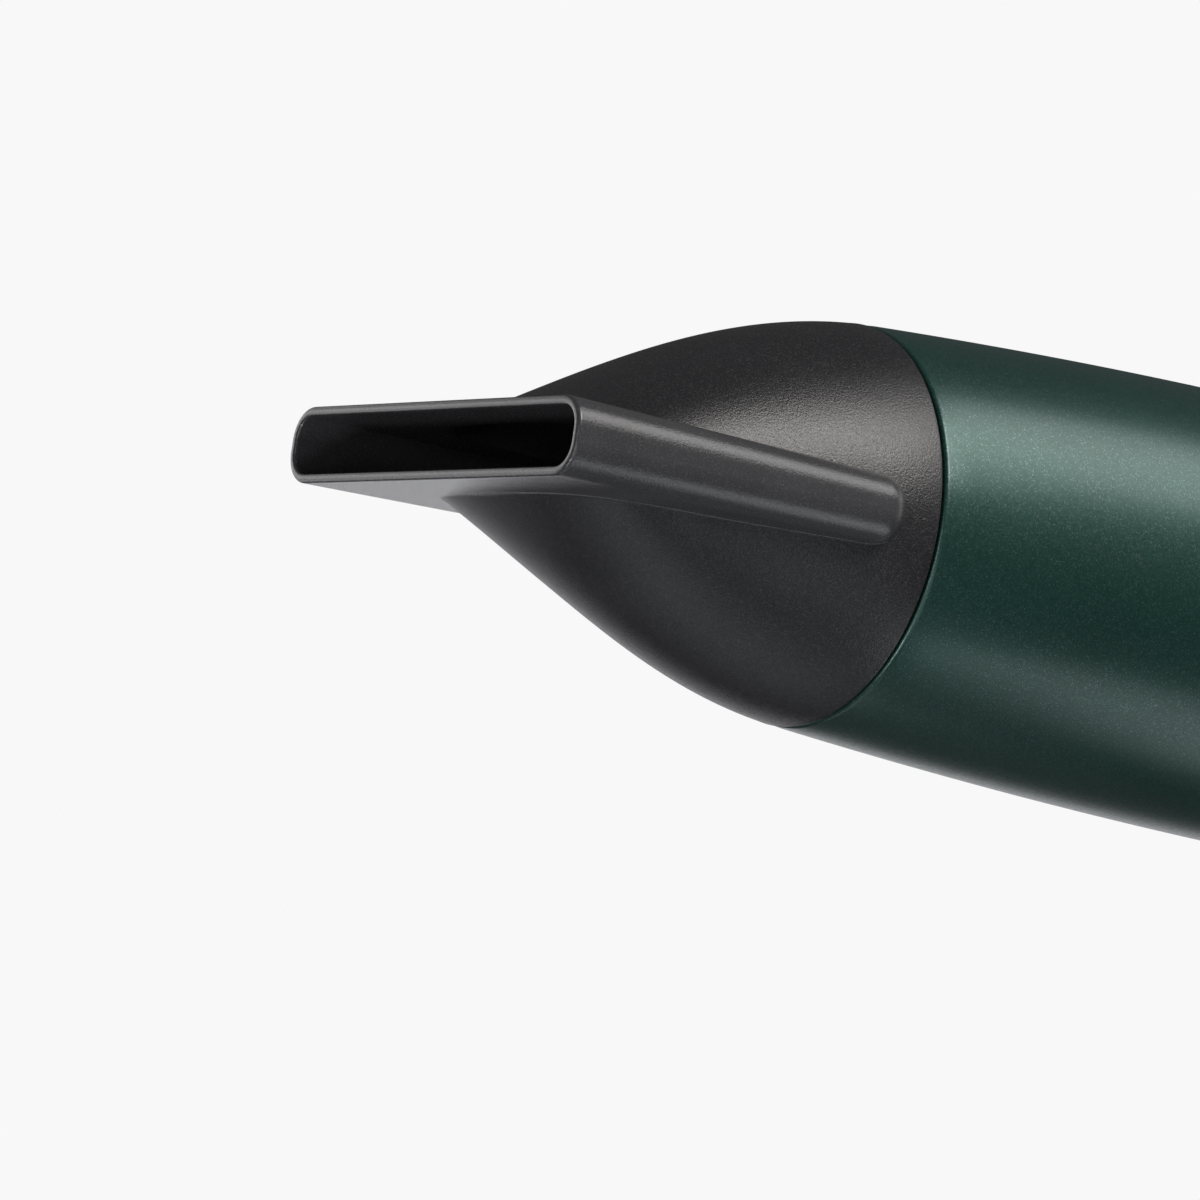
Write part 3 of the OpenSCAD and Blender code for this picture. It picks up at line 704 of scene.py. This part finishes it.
def handle_shell(side):
    """One half of the handle: a thin wall with a fine groove along the parting line."""
    near = [0.05, 0.12, 0.2, 0.3, 0.42, 0.56, 0.75, 1.0, 1.3]
    rings = []
    zs = [GRIP_Z0] + list(np.linspace(GRIP_Z0 + 0.5, GRIP_Z1, 110))
    for z in zs:
        a = grip_ab(z, 0)[0]
        cs = [(x / a) ** (1 / E) for x in near] + list(np.cos(np.radians(np.linspace(84, 0, 46))))
        turns = [-math.acos(min(1.0, c)) for c in cs]
        turns = turns + [-v for v in reversed(turns[:-1])]
        loop = []
        for v in turns:
            x = grip_point(math.cos(v), math.sin(v), z, 0)[0]
            dip = 0.3 * math.exp(-(x / 0.32) ** 2) + (0.25 if z == GRIP_Z0 else 0.0)
            x, y = grip_point(math.cos(v), math.sin(v), z, dip)
            loop.append((side * max(0.05, x), y, z))
        for v in reversed(turns):
            x, y = grip_point(math.cos(v), math.sin(v), z, 2.4)
            loop.append((side * max(0.05, x), y, z))
        rings.append(loop)
    n = len(rings[0])
    verts, faces = skin(rings)
    for base in (0, (len(rings) - 1) * n):
        for i in range(n // 2 - 1):
            faces.append((base + i, base + i + 1, base + n - 2 - i, base + n - 1 - i))
    return solid(verts, faces)


def trim_tool():
    """What the barrel takes out of the handle's top."""
    return solid(*capped([circle(on_barrel, barrel_r(t) + 0.1, t, 240) for t in np.linspace(70, 150, 25)]))


KNOB_Z = (64, 88)       # lower ends of the knobs' travel
KNOB_TRAVEL = 8


def slots(grow):
    half = 1.5 + grow
    return [solid(*block(-34, -4, -half, half, z - half, z + KNOB_TRAVEL + half)) for z in KNOB_Z]


SCREWS = [(y, z) for y in (-8, 8) for z in (24, 122.5)]


def handle_pieces():
    front = cut(handle_shell(1), ("DIFFERENCE", trim_tool()),
                ("DIFFERENCE", solid(*rod(along_x(5, 0, 108), 6.3, 0, 30, 96))))
    finish_piece(front, "handle_front_shell", "dryer", M["green_paint"], ("handle_front",))
    recess = cut(solid(*stadium(8.1, -34, 0)), ("DIFFERENCE", solid(*grip_solid(1.4, 46, 114))))
    back = cut(handle_shell(-1), ("DIFFERENCE", trim_tool()), ("DIFFERENCE", recess),
               *[("DIFFERENCE", s) for s in slots(0.6)],
               *[("DIFFERENCE", solid(*rod(along_x(-10, y, z, -1), 2.9, 0, 30, 64))) for y, z in SCREWS])
    wells = joined([turned([(2.9, 0), (3.7, 0), (3.7, 3.2), (2.9, 3.2)], along_x(-10, y, z, -1), 48)
                    for y, z in SCREWS] +
                   [turned([(1.7, -1.6), (3.7, -1.6), (3.7, -0.02), (1.7, -0.02)], along_x(-10, y, z, -1), 48)
                    for y, z in SCREWS])
    finish_piece(back, "handle_back_shell", "dryer", M["green_paint"], ("handle_back",))
    wells = cut(solid(*wells), ("INTERSECT", solid(*grip_solid(0.6, 12, 145))))
    finish_piece(wells, "screw_wells", "dryer", M["green_paint"])


handle_pieces()


def screw_head(place, r, h):
    """A pan head with a cross recess, h high over the seat at 0."""
    ob = solid(*turned([(0.02, 0)] + [(r - 0.15, 0), (r, 0.15)] +
                       [(r - h * (1 - math.cos(q)) * 0.6, h * math.sin(q) * 0.98 + 0.02)
                        for q in np.linspace(0.2, math.pi / 2, 8)] + [(0.02, h)], place, 64))
    w, k = 0.24 * r, 0.62 * r
    for a, b in ((w, k), (k, w)):
        ring = [(-a, -b), (a, -b), (a, b), (-a, b)]
        tip = [(x * 0.55, y * 0.55) for x, y in ring]
        tool = solid(*capped([[place(x, y, h + 1.0) for x, y in ring], [place(x, y, h) for x, y in ring],
                              [place(x, y, h * 0.35) for x, y in tip]]))
        cut(ob, ("DIFFERENCE", tool))
    return ob


def thread(place, r, length, pitch=0.9):
    """A shank with a rolled helical thread, running down from 0."""
    n = 24
    rings = []
    for j in range(int(length / 0.1) + 1):
        h = -0.1 * j
        taper = min(1.0, (length + h) / 1.6 + 0.35)
        ring = []
        for i in range(n):
            a = 2 * math.pi * i / n
            w = (h / pitch + i / n) % 1.0
            rr = r * taper * (0.76 + 0.24 * max(0.0, 1 - abs(w - 0.5) * 4.0))
            ring.append(place(rr * math.cos(a), rr * math.sin(a), h))
        rings.append(ring)
    return capped(rings)


def handle_screw_pieces():
    for i, (y, z) in enumerate(SCREWS):
        at = along_x(-10, y, z, -1)
        head = screw_head(at, 2.6, 2.3)
        shank = solid(*thread(at, 1.3, 19.6))
        bm = bmesh.new()
        bm.from_mesh(head.data)
        bm.from_mesh(shank.data)
        bm.to_mesh(head.data)
        bm.free()
        bpy.data.objects.remove(shank)
        finish_piece(head, "handle_screw_%d" % (i + 1), "dryer", M["screw_steel"],
                     ("handle_screws",) if i == 0 else ())


handle_screw_pieces()


def dome(place, r, h, n=20):
    """A low round dot standing on a surface."""
    prof = [(0.01, -0.3), (r, -0.3), (r, 0.0)] + \
        [(r * math.cos(q), h * math.sin(q)) for q in np.linspace(0.15, math.pi / 2 - 0.02, 6)]
    return turned(prof, place, n)


def panel_pieces():
    panel = cut(solid(*stadium(8.0, -34, -4)), ("INTERSECT", solid(*grip_solid(0.4, 44, 116, 90, 240))),
                ("DIFFERENCE", solid(*grip_solid(1.3, 40, 120))), *[("DIFFERENCE", s) for s in slots(0.3)])
    finish_piece(panel, "switch_panel_face", "dryer", M["panel_black"], ("switch_panel",))
    # position marks: one to three dots beside each slot
    dots = []
    for z0 in KNOB_Z:
        for step in range(3):
            for k in range(step + 1):
                y, z = 4.0 + 1.25 * k, z0 + KNOB_TRAVEL / 2 * step
                x = -grip_depth(y, z, 0.4)
                dots.append(dome(lambda a, b, h, x=x, y=y, z=z: (x - h, y + a, z + b), 0.42, 0.14))
    finish_piece(solid(*joined(dots)), "position_dots", "dryer", M["mark_white"])

    # a thin bright frame just inside the panel's edge
    def line(r, inset):
        out = []
        for k in range(49):
            q = math.pi * k / 48
            out.append((r * math.cos(q), 98 + r * math.sin(q)))
        for k in range(1, 24):
            out.append((-r, 98 - 36 * k / 24))
        for k in range(49):
            q = math.pi * k / 48
            out.append((-r * math.cos(q), 62 - r * math.sin(q)))
        for k in range(1, 24):
            out.append((r, 62 + 36 * k / 24))
        return [(-grip_depth(y, z, inset), y, z) for y, z in out]

    rings = [line(7.3, 0.42), line(7.35, 0.26), line(7.5, 0.2), line(7.65, 0.26), line(7.7, 0.42)]
    finish_piece(solid(*skin(rings, close=True)), "panel_frame_line", "dryer",
                 M["bright_steel"])


panel_pieces()


def knob(name, body, z0, node_name):
    """A pad with four finger ribs, following the panel's curve, on a stem."""
    n, m = 41, 61
    top, low = [], []
    for j in range(m):
        v = -1 + 2 * j / (m - 1)
        for i in range(n):
            u = -1 + 2 * i / (n - 1)
            y, z = 4.9 * u, z0 + 4.9 * v
            edge = min(1.0, (1 - abs(u)) / 0.2) if abs(u) > 0.8 else 1.0
            edge2 = min(1.0, (1 - abs(v)) / 0.2) if abs(v) > 0.8 else 1.0
            rim = math.sqrt(max(0.0, 1 - (1 - edge) ** 2)) * math.sqrt(max(0.0, 1 - (1 - edge2) ** 2))
            rib = 0.5 + 0.5 * math.cos(2 * math.pi * v * 2.5)
            inner = min(1.0, max(0.0, (0.84 - abs(u)) / 0.12)) * min(1.0, max(0.0, (0.9 - abs(v)) / 0.1))
            h = 0.45 + rim * (1.0 + 0.25 * v * v) - 0.42 * inner * (1 - rib ** 0.7)
            top.append((-grip_depth(y, z, -0.2) - min(h, 1.78), y, z))
            low.append((-grip_depth(y, z, -0.2), y, z))
    verts = top + low
    faces = []
    for j in range(m - 1):
        for i in range(n - 1):
            a = j * n + i
            faces.append((a, a + 1, a + n + 1, a + n))
            b = a + n * m
            faces.append((b, b + n, b + n + 1, b + 1))
    border = [i for i in range(n)] + [j * n + n - 1 for j in range(1, m)] + \
        [(m - 1) * n + i for i in range(n - 2, -1, -1)] + [j * n for j in range(m - 2, 0, -1)]
    for a, b in zip(border, border[1:] + border[:1]):
        faces.append((a, a + n * m, b + n * m, b))
    stem = block(-18.6, -8.4, -1.45, 1.45, z0 - 1.45, z0 + 1.45)
    finish_piece(solid(*joined([(verts, faces), stem])), name, body, M["knob_grey"],
                 (node_name,), 40)


knob("speed_knob_pad", "speed_knob", KNOB_Z[0], "speed_slider")
knob("heat_knob_pad", "heat_knob", KNOB_Z[1], "heat_slider")


COOL_Z = 108            # height of the cool-shot button


def cool_cap():
    """The cool-shot button: a dished cap on a stem."""
    face = grip_ab(COOL_Z, 0)[0] + 2.6
    prof = [(0.02, 8.7), (1.9, 8.7), (1.9, 12.2), (7.2, 12.2), (7.2, 13.8), (6.0, 13.8)] + \
        [(4.9 + 1.1 * math.cos(q), face - 1.1 + 1.1 * math.sin(q))
         for q in np.linspace(0, math.pi / 2, 9)] + \
        [(4.5, face - 0.02), (4.1, face - 0.16), (3.4, face - 0.36), (2.4, face - 0.5), (1.2, face - 0.56),
         (0.02, face - 0.57)]
    cap = solid(*turned(prof, along_x(0, 0, COOL_Z), 128))
    finish_piece(cap, "cool_button_cap", "cool_knob", M["knob_grey"], ("cool_button",), 30)
    # three raised bars, so that a thumb finds it
    bars = [tube([(face - 0.3, y, COOL_Z - w), (face - 0.26, y, COOL_Z), (face - 0.3, y, COOL_Z + w)], 0.22)
            for y, w in ((-1.3, 1.5), (0.0, 2.1), (1.3, 1.5))]
    finish_piece(solid(*joined(bars)), "cool_button_bars", "cool_knob", M["knob_grey"])


cool_cap()


def spring():
    path, turns, steps = [], 7, 40
    for k in range(turns * steps + 1):
        q = 2 * math.pi * k / steps
        path.append((2.2 + 9.6 * k / (turns * steps), 3.6 * math.cos(q), COOL_Z + 3.6 * math.sin(q)))
    ob = finish_piece(solid(*tube(path, 0.33, 8)), "cool_spring_coil", "dryer",
                      M["bright_steel"], ("cool_spring",))
    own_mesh(ob)


spring()


# ---------------------------------------------------------------- fan, heater and filter

def coil_wire():
    """The heating wire: a fine coil wound in a wide helix round the mica cross."""
    path, big, fine = [], 11, 1320
    for k in range(fine * 7 + 1):
        w = k / (fine * 7)
        q = 2 * math.pi * (big - 1) * w
        f = 2 * math.pi * fine * w
        r = 20.3 + 0.46 * math.cos(f)
        path.append((FRONT_X - (30 + 46 * w) + 0.46 * math.sin(f), r * math.cos(q), AXIS_H + r * math.sin(q)))
    finish_piece(solid(*tube(path, 0.13, 4)), "heater_wire", "dryer", M["heating_wire"],
                 ("heating_coils",))


coil_wire()


def impeller():
    """A hub with a rounded nose and nine cambered, twisted blades."""
    hub = [(1.52, 133), (3.4, 133), (3.4, 143), (9.8, 143), (9.8, 133), (11.5, 133), (11.5, 145.4)] + \
        [(8.3 + 3.2 * math.cos(q), 145.4 + 2.9 * math.sin(q)) for q in np.linspace(0.15, math.pi / 2, 8)] + \
        [(5.0, 148.3), (1.52, 148.3)]
    parts = [turned(hub, on_barrel, 128)]
    blades = 9
    for b in range(blades):
        grid = []
        for j in range(14):
            s = j / 13
            r = lerp(11.2, 30.5, s)
            lean = math.radians(46 + 14 * s)
            chord = 13.0 - 1.5 * s
            row = []
            for half in (1, -1):
                for i in range(13):
                    w = i / 12 if half > 0 else 1 - i / 12
                    c = (w - 0.5) * chord
                    camber = 0.9 * (1 - (2 * w - 1) ** 2)
                    thick = 0.62 * math.sqrt(max(0.0, 1 - (2 * w - 1) ** 4)) + 0.04
                    o = camber + half * thick
                    along = c * math.cos(lean) - o * math.sin(lean)
                    across = c * math.sin(lean) + o * math.cos(lean)
                    a = 2 * math.pi * b / blades + across / r + 0.12 * s
                    t = min(145.9, max(133.6, 139.6 + along))
                    row.append(on_barrel(r * math.cos(a), r * math.sin(a), t))
            grid.append(row)
        parts.append(capped(grid))
    finish_piece(solid(*joined(parts)), "fan_rotor", "rotor", M["fan_grey"],
                 ("fan_impeller",), 35)


impeller()


def filter_weave():
    """Plain-woven wire cloth, cut round."""
    parts, radius, pitch, wire = [], 28.3, 0.85, 0.24
    count = int(radius / pitch)
    for family in (0, 1):
        for k in range(-count, count + 1):
            c = k * pitch
            half = math.sqrt(max(0.0, radius * radius - c * c))
            if half < 1.0:
                continue
            m = int(half / pitch)
            pts = []
            for j in range(-m * 2, m * 2 + 1):
                w = j * pitch / 2
                lift = 0.13 * math.cos(math.pi * (w / pitch + k + family))
                a, b = (c, w) if family == 0 else (w, c)
                pts.append(on_barrel(a, b, 169.75 + lift))
            parts.append(tube(pts, wire / 2, 4))
    finish_piece(solid(*joined(parts)), "filter_cloth", "filter", M["mesh_steel"],
                 ("filter_mesh",), 60)


filter_weave()


# ---------------------------------------------------------------- stage

def studio():
    scene = bpy.context.scene
    scene.view_settings.view_transform = "Standard"
    scene.view_settings.look = "None"
    w = bpy.data.worlds.new("studio")
    scene.world = w
    w.use_nodes = True
    nt = w.node_tree
    nt.nodes.clear()
    out = nt.nodes.new("ShaderNodeOutputWorld")
    seen = nt.nodes.new("ShaderNodeBackground")
    seen.inputs["Color"].default_value = (0.939, 0.939, 0.939, 1)
    room = nt.nodes.new("ShaderNodeBackground")
    room.inputs["Color"].default_value = (0.065, 0.065, 0.068, 1)
    path = nt.nodes.new("ShaderNodeLightPath")
    mix = nt.nodes.new("ShaderNodeMixShader")
    nt.links.new(path.outputs["Is Camera Ray"], mix.inputs[0])
    nt.links.new(room.outputs[0], mix.inputs[1])
    nt.links.new(seen.outputs[0], mix.inputs[2])
    nt.links.new(mix.outputs[0], out.inputs[0])

    m, fnt, bs = material("pale_floor")
    tc = fnt.nodes.new("ShaderNodeTexCoord")
    tone = two_tone(fnt, noise(fnt, tc.outputs["Object"], 9.0, 3.0), (0.875, 0.875, 0.875), (0.9, 0.9, 0.9))
    fnt.links.new(tone, bs.inputs["Base Color"])
    bs.inputs["Roughness"].default_value = 0.85
    bs.inputs["Specular IOR Level"].default_value = 0.1
    under = fnt.nodes.new("ShaderNodeBsdfTransparent")
    side = fnt.nodes.new("ShaderNodeNewGeometry")
    one = fnt.nodes.new("ShaderNodeMixShader")
    fnt.links.new(side.outputs["Backfacing"], one.inputs[0])
    fnt.links.new(bs.outputs[0], one.inputs[1])
    fnt.links.new(under.outputs[0], one.inputs[2])
    out = [n for n in fnt.nodes if n.type == "OUTPUT_MATERIAL"][0]
    fnt.links.new(one.outputs[0], out.inputs[0])
    me = bpy.data.meshes.new("floor")
    s, z = 2.4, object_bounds()[0][2] - 0.0005
    me.from_pydata([(-s, -s, z), (s, -s, z), (s, s, z), (-s, s, z)], [], [(0, 1, 2, 3)])
    me.materials.append(m)
    fl = bpy.data.objects.new("floor", me)
    scene.collection.objects.link(fl)
    fl.visible_glossy = False
    fl.visible_diffuse = False
    fl.visible_shadow = False
    fl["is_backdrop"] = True
    # the floor has its own even light, and the softboxes leave it out
    for name, state in (("lit_floor", "INCLUDE"), ("not_floor", "EXCLUDE")):
        group = bpy.data.collections.new(name)
        group.objects.link(fl)
        group.collection_objects[0].light_linking.link_state = state
    sky = bpy.data.lights.new("floor_light", "SUN")
    sky.energy = 3.1
    sky.angle = math.radians(70)
    ob = bpy.data.objects.new("floor_light", sky)
    ob.rotation_euler = (math.radians(12), math.radians(8), 0)
    ob.light_linking.receiver_collection = bpy.data.collections["lit_floor"]
    scene.collection.objects.link(ob)


def key_at(name, el, az, size, radiance, color=(1, 1, 1)):
    """A softbox towards a compass direction from the nozzle. radiance is its brightness."""
    e, a = math.radians(el), math.radians(az)
    aim = Vector(LIGHT_AIM)
    at = aim + LIGHT_DIST * Vector((math.cos(e) * math.cos(a), math.cos(e) * math.sin(a), math.sin(e)))
    la = bpy.data.lights.new(name, "AREA")
    la.shape = "RECTANGLE"
    la.size, la.size_y = size
    la.energy = radiance * math.pi * size[0] * size[1]
    la.color = color
    ob = bpy.data.objects.new(name, la)
    bpy.context.scene.collection.objects.link(ob)
    ob.location = at
    ob.rotation_euler = (aim - at).to_track_quat("-Z", "Y").to_euler()
    ob.visible_camera = False
    ob.light_linking.receiver_collection = bpy.data.collections["not_floor"]


studio()

key_at("key_left", 43, 100, (0.42, 0.42), 10.6, (1.0, 0.965, 0.93))
key_at("key_back", 46, 146, (0.38, 0.38), 3.5, (1.0, 0.99, 0.97))
key_at("fill_below", -45, 158, (0.5, 0.2), 1.8, (0.93, 0.98, 1.0))
key_at("fill_wide", -32, 72, (0.8, 0.6), 0.95, (0.89, 0.95, 1.0))
key_at("under", -80, 240, (0.6, 0.5), 0.6, (0.93, 0.97, 1.0))
key_at("rim_low", -11, 236, (0.9, 0.26), 0.85, (0.97, 0.97, 1.0))
key_at("front_low", -42, 16, (0.22, 0.2), 11.0)
key_at("front_fill", -8, 30, (0.35, 0.35), 2.9)
key_at("rim_front", -8, 298, (0.6, 0.6), 1.6)
key_at("side_dim", 10, 132, (0.3, 0.2), 0.15)
key_at("right_soft", 16, 292, (0.8, 0.5), 0.9)
key_at("rear_soft", 12, 186, (0.6, 0.5), 0.9)


# ---------------------------------------------------------------- camera

def camera():
    az, el, roll = math.radians(56.27), math.radians(-5.73), math.radians(8.49)
    dist, scale, tx, ty = 1000.0, 6.23, 216.7, 75.1
    back = Vector((math.cos(el) * math.cos(az), math.cos(el) * math.sin(az), math.sin(el)))
    right = Vector((0, 0, 1)).cross(back).normalized()
    up = back.cross(right)
    c, s = math.cos(roll), math.sin(roll)
    r2, u2 = right * c + up * s, up * c - right * s
    place = Vector((FRONT_X, 0, AXIS_H)) + r2 * (-tx / scale) + u2 * (-ty / scale) + back * dist
    cam = bpy.data.cameras.new("camera")
    cam.sensor_width = 36
    cam.lens = 0.03 * scale * dist
    cam.clip_start, cam.clip_end = 0.02, 50
    ob = bpy.data.objects.new("camera", cam)
    bpy.context.scene.collection.objects.link(ob)
    ob.matrix_world = Matrix.Translation(place * MM) @ Matrix((r2, u2, back)).transposed().to_4x4()
    bpy.context.scene.camera = ob


camera()
